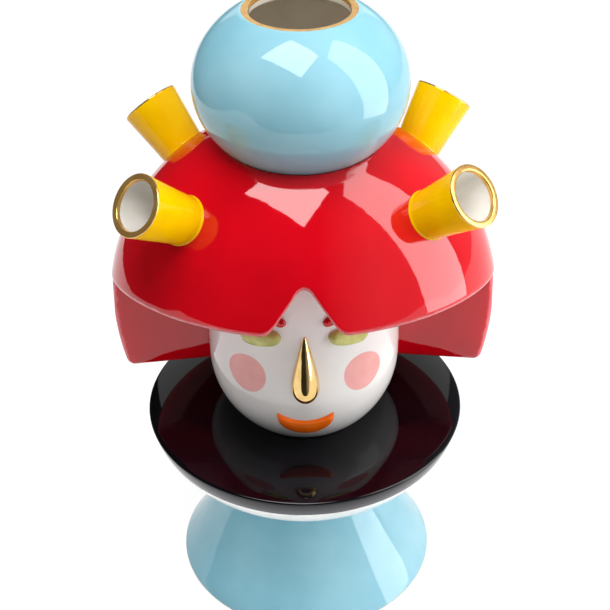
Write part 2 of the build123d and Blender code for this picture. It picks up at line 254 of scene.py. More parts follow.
# White glaze with enamel cheeks: clean and wet-looking; the enamel has a crisp brushed edge.
white_glaze, tree, shader, at = finish_of("white_glaze_painted")
split = add(tree, "SeparateXYZ", {0: at})
side = add(tree, "Math", {0: split.outputs["X"]}, operation="ABSOLUTE")
folded = add(tree, "CombineXYZ", {"X": side.outputs[0], "Z": split.outputs["Z"]})
oval = add(tree, "Mapping", {"Vector": folded.outputs[0], "Location": (CHEEK_X * MM, 0, CHEEK_Z * MM),
                             "Rotation": (0, np.radians(-CHEEK_TILT), 0),
                             "Scale": (CHEEK_HALF_WIDTH * MM, 1, CHEEK_HALF_HEIGHT * MM)},
           vector_type="TEXTURE")
reach = add(tree, "VectorMath", {0: oval.outputs[0]}, operation="LENGTH")
cheek = add(tree, "MapRange", {"Value": reach.outputs["Value"], "From Min": 1 + CHEEK_EDGE,
                               "From Max": 1 - CHEEK_EDGE})
face = add(tree, "Mix", {0: cheek.outputs[0], 6: drift(tree, at, WHITE, WHITE_COOL, patch_mm=60.0),
                         7: drift(tree, at, PINK, PINK_DEEP, patch_mm=14.0)}, data_type="RGBA")
pour_glaze(tree, shader, at, face.outputs[2], wave_mm=50.0, wave_high_mm=0.12)

head = skin("head_capsule", lathe(head_profile(), columns=192))
head.data.materials.append(white_glaze)
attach(head, "root")
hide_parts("head")


# Nose: a cast teardrop with its point at the top, leaning out of the face.
# It is covered in bright gold lustre, a metal film fired over the glaze.
NOSE_TOP_Z, NOSE_LENGTH, NOSE_R, NOSE_TIP_R, NOSE_STAND_OUT = 278.4, 56.5, 11.0, 0.4, 0.5
NOSE_SWELL, NOSE_DEPTH, NOSE_TIP_FADE, NOSE_ROW_BUNCH = 1.4, 1.5, 4, 1.5
GOLD, GOLD_DEEP = "#F6D593", "#E3B76C"
GOLD_STROKE, GOLD_GLOSSY, GOLD_DULL = 6.0, 0.03, 0.09


def nose_grid():
    """A drop lathed from a small round tip to a ball: its width grows as one less the remaining share to
    a power, with a parabola for the tip that fades out. It is deeper than wide, so that its front is a
    soft ridge, and leans so that the ball stands out from the head's skin."""
    straight = NOSE_LENGTH - NOSE_R
    sweep = np.linspace(-np.pi / 2, 0, 22)
    ball = np.stack([NOSE_R * np.cos(sweep), NOSE_R * np.sin(sweep) - straight], -1)
    share = np.linspace(1, 0, 40)[1:] ** NOSE_ROW_BUNCH
    width = np.sqrt((NOSE_R * (1 - (1 - share) ** NOSE_SWELL)) ** 2
                    + 2 * NOSE_TIP_R * straight * share * (1 - share) ** NOSE_TIP_FADE)
    cone = np.stack([width, -straight * share], -1)
    grid = lathe(np.concatenate([ball, cone]), columns=72)
    lean = NOSE_STAND_OUT / straight
    grid[..., 1] = NOSE_DEPTH * grid[..., 1] + grid[..., 2] * lean - HEAD_R * MM
    grid[..., 2] += NOSE_TOP_Z * MM
    return grid


# Gold lustre: a bright metal film that follows the glaze below it, a little brushed and warm.
gold_lustre, tree, shader, at = finish_of("gold_lustre")
shader.inputs["Metallic"].default_value = 1.0
tree.links.new(drift(tree, at, GOLD, GOLD_DEEP, patch_mm=12.0), shader.inputs["Base Color"])
brushed = add(tree, "TexNoise", {"Vector": at, "Scale": 1 / (GOLD_STROKE * MM), "Detail": 2.0})
rub = add(tree, "MapRange", {"Value": brushed.outputs[0], "To Min": GOLD_GLOSSY, "To Max": GOLD_DULL})
tree.links.new(rub.outputs[0], shader.inputs["Roughness"])

nose = skin("nose_drop", nose_grid())
nose.data.materials.append(gold_lustre)
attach(nose, "root")
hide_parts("nose")


# Lips, lids and brows: low pads pressed onto the soft clay of the head and enamelled.
# Each is a leaf or a band in front view, domed with a rounded edge.
RELIEF, LID_RELIEF = 2.8, 4.6
PAD_FLATNESS, PAD_STEEPEST, PAD_UNDER, PAD_STAND = 0.6, 0.42, 0.6, 0.3
LIP_HALF_WIDTH, LIP_CORNER_Z, LIP_UPPER_Z, LIP_LOWER_Z = 21.6, 203.6, 196.4, 180.4
LID_INNER, LID_OUTER, LID_HALF_HEIGHT, LID_BLUNTNESS = (17.3, 277.0), (46.8, 271.0), 7.2, 2.6
BROW_INNER, BROW_MIDDLE, BROW_OUTER = (13.9, 288.0), (34.0, 295.0), (52.0, 290.0)
BROW_HALF_WIDTH, BROW_BLUNTNESS = 4.3, 6.0
ORANGE, ORANGE_DEEP = "#FF7406", "#F45E04"
GREEN, GREEN_DEEP = "#D2D47E", "#AEAB54"
RED, RED_DEEP = "#D60418", "#BC0213"


def arc(start, middle, stop, share):
    """Points in front view on the circle through three points, at shares of its turn."""
    (ax, az), (bx, bz), (cx, cz) = start, middle, stop
    twice = 2 * (ax * (bz - cz) + bx * (cz - az) + cx * (az - bz))
    squares = [ax ** 2 + az ** 2, bx ** 2 + bz ** 2, cx ** 2 + cz ** 2]
    ox = (squares[0] * (bz - cz) + squares[1] * (cz - az) + squares[2] * (az - bz)) / twice
    oz = (squares[0] * (cx - bx) + squares[1] * (ax - cx) + squares[2] * (bx - ax)) / twice
    turns = np.unwrap([np.arctan2(z - oz, x - ox) for x, z in (start, middle, stop)])
    angle = turns[0] + (turns[2] - turns[0]) * share
    radius = np.hypot(ax - ox, az - oz)
    return np.stack([ox + radius * np.cos(angle), oz + radius * np.sin(angle)], -1)


def pad(low, high, relief, mirror=1):
    """A pad between two edges in front view: each row is a loop that crosses the front on a flattened
    half circle and comes back under the skin. Points stand off the head along its own normal, by no more
    than a share of the pad's width."""
    turn = np.linspace(0, 2 * np.pi, 48, endpoint=False)
    across = (1 - np.cos(turn)) / 2
    width = np.hypot(*(high - low).T)[:, None]
    dome = np.sign(np.sin(turn)) * np.abs(np.sin(turn)) ** PAD_FLATNESS
    most = np.minimum(relief, PAD_STEEPEST * width)
    lift = np.where(dome > 0, most * dome, PAD_UNDER * most * dome) + PAD_STAND
    flat = low[:, None] + (high - low)[:, None] * across[None, :, None]
    x, z = mirror * flat[..., 0], flat[..., 1]
    fall = np.minimum(z - HEAD_ROUND_Z, 0)
    y = -np.sqrt(HEAD_R ** 2 - fall ** 2 - x ** 2)
    stand = 1 + lift / HEAD_R
    grid = MM * np.stack([x * stand, y * stand, z - fall + fall * stand], -1)
    return grid if mirror > 0 else grid[::-1]


def band_edges(line, share, half_width, bluntness):
    """The two edges of a band along a line, with round ends that a higher bluntness makes squarer."""
    way = np.gradient(line, axis=0)
    side_way = np.stack([-way[:, 1], way[:, 0]], -1) / np.hypot(*way.T)[:, None]
    half = half_width * np.sqrt(1 - np.abs(2 * share - 1) ** bluntness)[:, None]
    return line - side_way * half, line + side_way * half


def enamel(name, colour, deep):
    """Thick coloured glaze over a pad, deeper in tone where it pooled."""
    made, tree, shader, at = finish_of(name)
    pour_glaze(tree, shader, at, drift(tree, at, colour, deep, patch_mm=12.0), wave_mm=12.0,
               wave_high_mm=0.08)
    return made


# Orange, green and red enamels: opaque and glossy, mottled where a brush laid them.
orange_enamel = enamel("orange_enamel", ORANGE, ORANGE_DEEP)
green_enamel = enamel("green_enamel", GREEN, GREEN_DEEP)
red_enamel = enamel("red_enamel", RED, RED_DEEP)

along = (1 - np.cos(np.linspace(0, np.pi, 41))) / 2
lip_left, lip_right = (-LIP_HALF_WIDTH, LIP_CORNER_Z), (LIP_HALF_WIDTH, LIP_CORNER_Z)
lips = skin("lips_crescent", pad(arc(lip_left, (0, LIP_LOWER_Z), lip_right, along),
                                 arc(lip_left, (0, LIP_UPPER_Z), lip_right, along), RELIEF))
lips.data.materials.append(orange_enamel)
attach(lips, "root")
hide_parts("lips")

brow_line = arc(BROW_INNER, BROW_MIDDLE, BROW_OUTER, along)
brow_low, brow_high = band_edges(brow_line, along, BROW_HALF_WIDTH, BROW_BLUNTNESS)
lid_line = np.outer(1 - along, LID_INNER) + np.outer(along, LID_OUTER)
lid_low, lid_high = band_edges(lid_line, along, LID_HALF_HEIGHT, LID_BLUNTNESS)
for side_name, mirror in (("right", 1), ("left", -1)):
    lid = skin(f"eyelid_pad_{side_name}", pad(lid_low, lid_high, LID_RELIEF, mirror))
    lid.data.materials.append(green_enamel)
    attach(lid, "root")
    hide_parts(f"eyelid_{side_name}")
    brow = skin(f"brow_pad_{side_name}", pad(brow_low, brow_high, RELIEF, mirror))
    brow.data.materials.append(red_enamel)
    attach(brow, "root")
    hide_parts(f"brow_{side_name}")


# Hair: one large hollow casting, an oval dome cut away in front below a fringe with a notch in it.
# Two flat side walls come down to the hem. Bright red glaze, with a painted reflection of the floor pale
# along the edges.
HAIR_HALF_WIDTH, HAIR_HALF_DEPTH, HAIR_CLIMB = 151.0, 128.5, 160.0
HAIR_WIDEST_Z, HEM_Z, HEM_DRAW_IN = 259.0, 199.0, 8.0 / HAIR_HALF_WIDTH
FRINGE_FRONT_Z, FRINGE_SIDE_Z, NOTCH_PEAK_Z, NOTCH_SLOPE = 308.0, 284.3, 344.8, 1.415
NOTCH_PEAK_ROUND, NOTCH_FOOT_BLEND, ARCH_COSINE = 7.0, 7.5, 0.97
WALL_OUTER_Y, WALL_INNER_Y, WALL_OUTER_X, WALL_MID_Z, WALL_LEAN = -1.0, 8.0, 143.0, 240.0, 0.12
BUN_R, BUN_HALF_HEIGHT, BUN_MID_Z, LUTING = 77.5, 64.0, 446.0, 0.2
BEAD_HEIGHT, BEAD_REACH = 0.9, 1.6
EDGE_ROUND, HEM_ROUND, CORNER_ROUND = 6.0, 6.0, 2.0
HEART = np.array([0.0, 50.0, 360.0])
CORNER_X, NOTCH_TURN, FRONT_TURN, BACK_TURN = 150.0, 11.0, 61.0, 176.0
NOTCH_STEP, FRONT_STEP, WALL_STEP, CORNER_STEP, BACK_STEP = 0.25, 1.0, 0.5, 0.16, 2.0
BACK_BLEND, BACK_ROWS, LEAST_GAP = 25.0, {1: 0.4, 2: 0.65}, 0.6
# Pale pink of the painted reflection along the hair's edges, and the ragged spread of that band.
RED_EDGE_REFLECTION = "#DE6C74"
RAGGED, REFLECTION_GAIN, PALE_FROM, PALE_FULL, PALE_MOST = 7.0, 1.6, 0.9, 1.35, 0.75


def off_dome(x, y, z):
    """Distance from the oval dome, below zero inside: a half ellipsoid above its widest height, and
    ellipses that draw in by the square of the drop below it."""
    over = np.maximum(z - HAIR_WIDEST_Z, 0)
    under = np.maximum(HAIR_WIDEST_Z - z, 0) / (HAIR_WIDEST_Z - HEM_Z)
    share = 1 - HEM_DRAW_IN * under ** 2
    plan = (x / HAIR_HALF_WIDTH) ** 2 + (y / HAIR_HALF_DEPTH) ** 2
    level = plan / share ** 2 + (over / HAIR_CLIMB) ** 2
    steep = 2 * np.sqrt((x / HAIR_HALF_WIDTH ** 2 / share ** 2) ** 2
                        + (y / HAIR_HALF_DEPTH ** 2 / share ** 2) ** 2 + (over / HAIR_CLIMB ** 2) ** 2)
    return (level - 1) / np.maximum(steep, 1e-4)


def ceiling(x, y):
    """Height of the underside in front: a shallow arch from back to front, raised by the notch, whose
    two slopes meet in a rounded peak and run into the arch in rounded feet."""
    sag = (FRINGE_FRONT_Z - FRINGE_SIDE_Z) / HAIR_HALF_DEPTH ** 2
    arch = FRINGE_FRONT_Z - sag * (y + HAIR_HALF_DEPTH) ** 2
    peak = (x ** 2 / NOTCH_PEAK_ROUND + NOTCH_PEAK_ROUND) / 2
    wide = np.maximum(np.abs(x), peak * (np.abs(x) < NOTCH_PEAK_ROUND))
    notch = NOTCH_PEAK_Z - NOTCH_SLOPE * wide
    blend = np.maximum(NOTCH_FOOT_BLEND - np.abs(arch - notch), 0)
    return np.maximum(arch, notch) + blend ** 2 / (4 * NOTCH_FOOT_BLEND)


def wall_y(x, z=WALL_MID_Z):
    """Where the side walls stand: two planes that meet on the middle line, inside the head, and lean back
    a little so that the mould comes off."""
    slope = (WALL_INNER_Y - WALL_OUTER_Y) / (WALL_OUTER_X - HEAD_R)
    return WALL_INNER_Y - slope * (np.abs(x) - HEAD_R) + WALL_LEAN * (z - WALL_MID_Z)


def off_bun(x, y, z):
    """Distance from the bun's flattened ball, below zero inside it."""
    level = (x ** 2 + y ** 2) / BUN_R ** 2 + ((z - BUN_MID_Z) / BUN_HALF_HEIGHT) ** 2
    steep = 2 * np.sqrt((x ** 2 + y ** 2) / BUN_R ** 4 + ((z - BUN_MID_Z) / BUN_HALF_HEIGHT ** 2) ** 2)
    return (level - 1) / np.maximum(steep, 1e-4)


def both(one, other, rounding):
    """Where two solids overlap, with the edge between them rounded."""
    a, b = np.maximum(one + rounding, 0), np.maximum(other + rounding, 0)
    return np.minimum(np.maximum(one, other), -rounding) + np.hypot(a, b)


def off_shelter(x, y, z):
    """Distance from the space that the face stands in: under the ceiling, whose height counts by the
    cosine of its slope, and in front of the walls."""
    return -both(ARCH_COSINE * (z - ceiling(x, y)), y - wall_y(x, z), CORNER_ROUND)


def off_hair(x, y, z):
    """Distance from the hair's skin: the dome above its hem, and above the ceiling or behind the walls."""
    body = both(off_dome(x, y, z), HEM_Z - z, HEM_ROUND)
    return both(body, off_shelter(x, y, z), EDGE_ROUND)


def edge_share(x, y, z):
    """One on the edge between the dome and the space for the face, falling to nothing at the ends of its
    rounding."""
    return np.clip(1 + np.minimum(off_dome(x, y, z), off_shelter(x, y, z)) / EDGE_ROUND, 0, 1)


def bisect(inside, low, high, steps=40):
    """Where a function of an array passes zero from below, between two bounds, by halving."""
    low, high = np.array(low, float), np.array(high, float)
    for _ in range(steps):
        middle = (low + high) / 2
        below = inside(middle) < 0
        low, high = np.where(below, middle, low), np.where(below, high, middle)
    return (low + high) / 2


def bunch(start, stop, count, first=1.0, last=1.0):
    """Shares from start to stop, drawn towards either end by powers."""
    share = np.linspace(0, 1, count)[:, None]
    share = share ** first / (share ** first + (1 - share) ** last)
    return start + (stop - start) * share


def hair_grid():
    """Rays from a point deep in the crown, each ending where it leaves the hair. Columns are turns about
    that point, close together at the notch and the walls; rows bunch at the bun's seat, the fringe, the
    inner corner and the hem, whose slopes are worked out for every column, and lie evenly at the back. The
    seat is the bun's own underside, a luting gap lower, with a bead round it that dies away slowly."""
    corner = np.degrees(np.arctan2(CORNER_X, HEART[1] - wall_y(CORNER_X)))
    half = np.concatenate([
        np.arange(0, NOTCH_TURN, NOTCH_STEP), np.arange(NOTCH_TURN, FRONT_TURN, FRONT_STEP),
        np.arange(FRONT_TURN, corner - 2, WALL_STEP), np.arange(corner - 2, corner + 1.5, CORNER_STEP),
        np.arange(corner + 1.5, BACK_TURN, BACK_STEP), [BACK_TURN + BACK_STEP]])
    turn = np.radians(np.concatenate([half, [180.0], -half[:0:-1]]))
    east, south = np.sin(turn), -np.cos(turn)
    height = HEART[2]

    def rim(reach):
        """Distance from the dome of the ceiling, or of the hem where that is higher, at a reach."""
        x, y = reach * east, HEART[1] + reach * south
        return off_dome(x, y, np.maximum(ceiling(x, y), HEM_Z))

    def dome_z(reach):
        """Height of the dome at a reach, by the half ellipsoid."""
        plan = (reach * east / HAIR_HALF_WIDTH) ** 2 + ((HEART[1] + reach * south) / HAIR_HALF_DEPTH) ** 2
        return HAIR_WIDEST_Z + HAIR_CLIMB * np.sqrt(np.maximum(1 - plan, 0))

    seat = bisect(lambda reach: off_bun(reach * east, HEART[1] + reach * south, dome_z(reach)) - LUTING,
                  np.full_like(turn, 0.0), np.full_like(turn, 120.0))
    fringe = bisect(rim, np.full_like(turn, 20.0), np.full_like(turn, 260.0))
    wall = bisect(lambda reach: wall_y(reach * east) - HEART[1] - reach * south,
                  np.full_like(turn, 1.0), np.full_like(turn, 400.0))
    hem = bisect(lambda reach: off_dome(reach * east, HEART[1] + reach * south, HEM_Z + 0 * turn),
                 np.full_like(turn, 20.0), np.full_like(turn, 260.0))
    fronts = np.abs(turn) < np.radians(corner)
    wall = np.where(fronts, np.minimum(wall, fringe), fringe)
    top = ceiling(fringe * east, HEART[1] + fringe * south)
    inner = ceiling(wall * east, HEART[1] + wall * south)
    slope = [np.arctan2(dome_z(seat) - height, seat), np.arctan2(top - height, fringe),
             np.arctan2(inner - height, wall),
             np.arctan2(HEM_Z - height, np.where(fronts, np.minimum(wall, hem), hem)),
             np.full_like(turn, -np.pi / 2)]
    backs = np.clip((np.abs(turn) - np.radians(corner)) / np.radians(BACK_BLEND), 0, 1)
    for row, share in BACK_ROWS.items():
        even = slope[0] + share * (slope[3] - slope[0])
        slope[row] = slope[row] + backs * (even - slope[row])
    slope[2] = np.minimum(slope[2], slope[1] - np.radians(LEAST_GAP))
    slope[3] = np.minimum(slope[3], slope[2] - np.radians(LEAST_GAP))
    rise = np.concatenate([
        bunch(slope[0], slope[1], 72, 1.8, 1.8)[:-1], bunch(slope[1], slope[2], 26, 1.9, 1.4)[:-1],
        bunch(slope[2], slope[3], 34, 1.4, 1.9)[:-1], bunch(slope[3], slope[4], 16, 1.9, 1.0)])
    way = np.stack([np.cos(rise) * east, np.cos(rise) * south, np.sin(rise)], -1)
    reach = bisect(lambda far: off_hair(*(HEART + far[..., None] * way).transpose(2, 0, 1)),
                   np.full_like(rise, 5.0), np.full_like(rise, 300.0))
    shell = HEART + reach[..., None] * way
    away = np.linalg.norm(shell - shell[0], axis=-1) / BEAD_REACH
    shell[..., 2] += BEAD_HEIGHT * away * np.exp(1 - away)
    plan = np.append(np.linspace(0, 0.96, 9), 0.99)[:, None, None] * shell[0, :, :2]
    under = BUN_HALF_HEIGHT * np.sqrt(1 - (plan ** 2).sum(-1, keepdims=True) / BUN_R ** 2)
    bowl = np.concatenate([plan, BUN_MID_Z - under - LUTING], -1)
    return MM * np.concatenate([bowl, shell])[::-1]


# Red glaze: deep and glassy, melted into ripples, with a ragged pale band along the edges, a painted
# reflection of the bright floor.
red_glaze, tree, shader, at = finish_of("red_glaze")
# Painted reflection: the edge mask lightens the red to a ragged pale pink band along the hair's edges.
edge_reflection = add(tree, "Attribute", {}, attribute_name="edge_reflection_paint").outputs["Fac"]
ragged = add(tree, "TexNoise", {"Vector": at, "Scale": 1 / (RAGGED * MM), "Detail": 2.0})
reflection_spread = add(tree, "Math", {0: edge_reflection, 1: REFLECTION_GAIN, 2: ragged.outputs[0]}, operation="MULTIPLY_ADD")
pale = add(tree, "MapRange", {"Value": reflection_spread.outputs[0], "From Min": PALE_FROM, "From Max": PALE_FULL,
                              "To Max": PALE_MOST})
coat = add(tree, "Mix", {0: pale.outputs[0], 6: drift(tree, at, RED, RED_DEEP, patch_mm=80.0),
                         7: linear(RED_EDGE_REFLECTION)}, data_type="RGBA")
pour_glaze(tree, shader, at, coat.outputs[2], wave_mm=11.0, wave_high_mm=0.06, index=1.6)

hair = skin("hair_dome", hair_grid())
spots = np.empty(3 * len(hair.data.vertices))
hair.data.vertices.foreach_get("co", spots)
# The mask for the painted reflection: one on the edges, falling away through their rounding.
hair.data.attributes.new("edge_reflection_paint", "FLOAT", "POINT").data.foreach_set(
    "value", edge_share(*spots.reshape(-1, 3).T / MM))
hair.data.materials.append(red_glaze)
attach(hair, "root")
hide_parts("hair")


# Bun: a cast flattened ball with a round mouth, nested in the crown of the hair.
# It is pale blue outside and white inside, with gold lustre brushed round the lip.
BUN_TOP_Z, BUN_MOUTH_R, BUN_WALL, GILT_R = 500.0, 35.0, 6.0, 40.6
LIP_START, LIP_ROUND, LIP_OUTER_ROUND, THROAT_ROUND = 2.0, 2.4, 1.6, 1.5
THROAT_Z, THROAT_END_Z = 493.5, 490.5
LIP_GOLD, LIP_GOLD_DEEP, LIP_METALLIC = "#F0C274", "#D9A454", 0.75
LIP_STROKE, LIP_GLOSSY, LIP_DULL = 3.0, 0.08, 0.17
# Painted shade: the white inside the bun is darker and creamier than the same glaze in the bores.
INSIDE_SHADED, INSIDE_SHADED_DEEP = "#E2DACC", "#D8CEBE"


def bun_profile():
    """An ellipse from its lowest point up to the lip, the rounded lip and its short throat, and a smaller
    ellipse back down; also the first row that looks up or inwards."""
    climb = np.arcsin((BUN_TOP_Z - LIP_START - BUN_MID_Z) / BUN_HALF_HEIGHT)
    sweep = np.linspace(-np.pi / 2, climb, 90)
    outer = np.stack([BUN_R * np.cos(sweep), BUN_MID_Z + BUN_HALF_HEIGHT * np.sin(sweep)], -1)
    outer[0, 0] = 0
    rim = BUN_R * np.sqrt(1 - ((BUN_TOP_Z - BUN_MID_Z) / BUN_HALF_HEIGHT) ** 2)
    inner_r, inner_h = BUN_R - BUN_WALL, BUN_HALF_HEIGHT - BUN_WALL
    sweep = np.linspace(np.arcsin((THROAT_END_Z - BUN_MID_Z) / inner_h), -np.pi / 2, 70)
    inner = np.stack([inner_r * np.cos(sweep), BUN_MID_Z + inner_h * np.sin(sweep)], -1)
    inner[-1, 0] = 0
    lip = outline((*outer[-1], 0), (rim, BUN_TOP_Z, LIP_OUTER_ROUND), (BUN_MOUTH_R, BUN_TOP_Z, LIP_ROUND),
                  (BUN_MOUTH_R, THROAT_Z, THROAT_ROUND), (*inner[0], 0), step=1.5)
    return np.concatenate([outer[:-1], lip[:-1], inner]), len(outer) + TURN_POINTS - 1


# White glaze inside the bun, darker and creamier than the same glaze in the bores: painted shade for its
# deep inside, drifting in soft patches.
shaded_inside_glaze, tree, shader, at = finish_of("white_glaze_inside_shaded")
pour_glaze(tree, shader, at, drift(tree, at, INSIDE_SHADED, INSIDE_SHADED_DEEP, patch_mm=30.0))

# Brushed gold round the mouths: the same metal laid by brush over a rounded edge, softer than a mirror.
brushed_gold, tree, shader, at = finish_of("brushed_gold_lustre")
shader.inputs["Metallic"].default_value = LIP_METALLIC
tree.links.new(drift(tree, at, LIP_GOLD, LIP_GOLD_DEEP, patch_mm=8.0), shader.inputs["Base Color"])
strokes = add(tree, "TexNoise", {"Vector": at, "Scale": 1 / (LIP_STROKE * MM), "Detail": 2.0})
rub = add(tree, "MapRange", {"Value": strokes.outputs[0], "To Min": LIP_GLOSSY, "To Max": LIP_DULL})
tree.links.new(rub.outputs[0], shader.inputs["Roughness"])

profile, turn_in = bun_profile()
gilded = (profile[:-1, 0] < GILT_R) & (profile[:-1, 1] > BUN_TOP_Z - LIP_ROUND)
outside = np.arange(len(profile) - 1) < turn_in
bun = skin("bun_ball", lathe(profile, columns=192), paint=np.where(gilded, 1, np.where(outside, 0, 2)))
for finish in (blue_glaze, brushed_gold, shaded_inside_glaze):
    bun.data.materials.append(finish)
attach(bun, "root")
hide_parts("bun")


# Flower tubes: four flared cast tubes, cut to the hair's curve and luted onto it with a bead of glaze.
# Yellow outside, white inside, with gold lustre round each lip.
TUBES = {"front_left": ((-85.0, -58.7), 39.0, 35.0), "front_right": ((89.5, -55.0), 39.0, 38.0),
         "back_left": ((-91.5, 58.7), 36.0, 45.0), "back_right": ((91.0, 59.0), 42.0, 50.0)}
TUBE_LENGTH, TUBE_FOOT_R, TUBE_MOUTH_R, TUBE_GILT = 44.8, 17.55, 22.75, 1.4
MOUTH_OUTER_ROUND, MOUTH_INNER_ROUND = 1.3, 1.0
BORE_R, BORE_TAPER, BORE_FLOOR, BORE_FLOOR_ROUND = 18.0, 0.72, 4.0, 5.0
LUTE_OUT, LUTE_IN, LUTE_HIGH, LUTE_ROUND = 1.4, 0.35, 1.6, 1.0
SEAT_RING, SEAT_SINK, SEAT_FADE = 1.0, 0.5, 14.0
YELLOW, YELLOW_DEEP, YELLOW_SPECULAR = "#FBCC02", "#F4B901", 0.2
# Painted light: the white in the bores is brighter than the same glaze inside the bun.
BORE_WHITE_LIT, BORE_COOL_LIT = "#ECE9E3", "#E3DFD7"


def tube_grid(place, turn, lean):
    """A profile over the bead of luting, out along the tube, round its lip and down its bore to a floor,
    lathed about an axis that turns from sideways and leans up, both in degrees. The lowest rows drop to
    the hair, where each column meets the dome, by a share that fades out along the tube."""
    rows = outline(
        (TUBE_FOOT_R + LUTE_OUT, 0.0, 0), (TUBE_FOOT_R + LUTE_IN, LUTE_HIGH, LUTE_ROUND),
        (TUBE_MOUTH_R, TUBE_LENGTH, MOUTH_OUTER_ROUND), (BORE_R, TUBE_LENGTH, MOUTH_INNER_ROUND),
        (BORE_R * BORE_TAPER, BORE_FLOOR, BORE_FLOOR_ROUND), (0, BORE_FLOOR, 0), step=2.0)
    around = np.linspace(0, 2 * np.pi, 96, endpoint=False)
    turn, lean = np.radians([turn, lean])
    away = np.sign([*place, 0.0]) * [np.cos(turn), np.sin(turn), 0.0]
    axis = away * np.cos(lean) + np.array([0.0, 0.0, np.sin(lean)])
    across = np.array([-away[1], away[0], 0.0])
    third = np.cross(axis, across)
    climb = 1 - (place[0] / HAIR_HALF_WIDTH) ** 2 - (place[1] / HAIR_HALF_DEPTH) ** 2
    seat = np.array([*place, HAIR_WIDEST_Z + HAIR_CLIMB * np.sqrt(climb)])
    ring = across * np.cos(around)[:, None] + third * np.sin(around)[:, None]
    foot_ring = seat + ring * (TUBE_FOOT_R + SEAT_RING)
    drop = bisect(lambda up: off_dome(*(foot_ring + up[:, None] * axis).T), np.full_like(around, -20.0),
                  np.full_like(around, 20.0))
    outside = np.arange(len(rows)) <= np.argmax(rows[:, 1])
    hold = np.where(outside, np.clip(1 - rows[:, 1] / SEAT_FADE, 0, 1), 0.0)
    up = rows[:, 1:] + hold[:, None] * (drop - SEAT_SINK)
    grid = seat + rows[:, :1, None] * ring + up[..., None] * axis
    lip = np.where(rows[:-1, 1] > TUBE_LENGTH - TUBE_GILT, 1, np.where(outside[:-1], 0, 2))
    return MM * grid, lip


# Yellow glaze: opaque, warm and glossy, a little deeper in soft patches.
yellow_glaze, tree, shader, at = finish_of("yellow_glaze")
pour_glaze(tree, shader, at, drift(tree, at, YELLOW, YELLOW_DEEP, patch_mm=25.0), wave_mm=22.0,
           wave_high_mm=0.1)
shader.inputs["Specular IOR Level"].default_value = YELLOW_SPECULAR

# White glaze in the bores, brighter than the same glaze inside the bun: painted light falling down from
# the mouth, drifting in soft patches.
lit_bore_glaze, tree, shader, at = finish_of("white_glaze_bore_lit")
pour_glaze(tree, shader, at, drift(tree, at, BORE_WHITE_LIT, BORE_COOL_LIT, patch_mm=20.0))

for corner_name, (place, turn, lean) in TUBES.items():
    grid, bands = tube_grid(place, turn, lean)
    tube = skin(f"flower_tube_shell_{corner_name}", grid, paint=bands)
    for finish in (yellow_glaze, brushed_gold, lit_bore_glaze):
        tube.data.materials.append(finish)
    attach(tube, "root")
    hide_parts(f"flower_tube_{corner_name}")


# Studio: a white table, which reaches out furthest at its front corners, in a room that is dim in front and
# pale behind. A softbox hangs above in front, a tall one stands at the right and a pale panel behind, and
# the table throws light back under the rim.
FLOOR_EDGE = [(-0.35, -0.78), (0.03, -0.8), (0.4, -0.78), (0.7, -0.85), (2.2, -2.0), (4.0, -2.5),
              (5.1, -1.9), (2.5, -0.4), (2.4, 0.2), (2.4, 3.0), (-0.9, 3.0), (-0.85, 0.8), (-1.14, 0.31),
              (-1.33, 0.04), (-1.91, -0.53), (-3.1, -1.4), (-2.2, -1.7), (-0.7, -0.8)]
FLOOR_WHITE, FLOOR_ROUGHNESS, GLOW_SHARE, GLOW_STRENGTH = "#F2F2F2", 0.9, 0.8, 1.1
SOFTBOX_AT, SOFTBOX_SIZE, SOFTBOX_WATTS = (-0.082, -0.310, 1.555), (0.843, 0.742), 14.5
SOFTBOX_ACROSS, SOFTBOX_ALONG = (0.448, 0.253, 0.858), (-0.761, 0.612, 0.216)
STRIP_AT, STRIP_SIZE, STRIP_WATTS = (0.825, -0.19, 0.9), (0.58, 1.86), 14.5
STRIP_ACROSS, STRIP_ALONG = (0.0104, 0.9991, -0.0417), (-0.2423, 0.043, 0.9692)
BOUNCE_AT, BOUNCE_SIZE, BOUNCE_WATTS = (-0.13, -0.19, 0.002), (0.4, 0.2), 0.3
BOUNCE_ACROSS, BOUNCE_ALONG = (0.866, -0.5, 0.0), (-0.5, -0.866, 0.0)
PANEL_AT, PANEL_SIZE, PANEL_WATTS = (0.0, 1.5, 1.0), (1.5, 0.9), 3.0
PANEL_ACROSS, PANEL_ALONG = (-1.0, 0.0, 0.0), (0.0, 0.0, 1.0)
ROOM_DIM, ROOM_PALE, ROOM_TURN = 0.03, 0.32, (0.15, 0.6)
BACK_WAY, BACK_DIM, BACK_PALE, BACK_RANGE = (-0.3, 0.93, 0.2), 0.11, 0.58, (-0.5, 0.7)
ABOVE_WAY, ABOVE_GLOW, ABOVE_RANGE = (-0.1, -0.55, 0.83), 0.75, (0.75, 0.95)

# White paper: matt, and bright by itself where it is seen or mirrored, while it keeps the vase's shadow.
white_floor, tree, shader, at = finish_of("white_paper_floor")
shader.inputs["Base Color"].default_value = linear(FLOOR_WHITE)
shader.inputs["Roughness"].default_value = FLOOR_ROUGHNESS
path = add(tree, "LightPath", {})
seen = add(tree, "Math", {0: path.outputs["Is Camera Ray"], 1: path.outputs["Is Glossy Ray"]},
           operation="MAXIMUM")
seen = add(tree, "Math", {0: seen.outputs[0], 1: path.outputs["Is Transmission Ray"]}, operation="MAXIMUM")
most = add(tree, "Math", {0: seen.outputs[0], 1: GLOW_SHARE}, operation="MULTIPLY")
glow = add(tree, "Emission", {"Color": (1, 1, 1, 1), "Strength": GLOW_STRENGTH})
mixed = add(tree, "MixShader", {0: most.outputs[0], 1: shader.outputs[0], 2: glow.outputs[0]})
tree.links.new(mixed.outputs[0], tree.nodes["Material Output"].inputs["Surface"])
floor_mesh = bpy.data.meshes.new("floor")
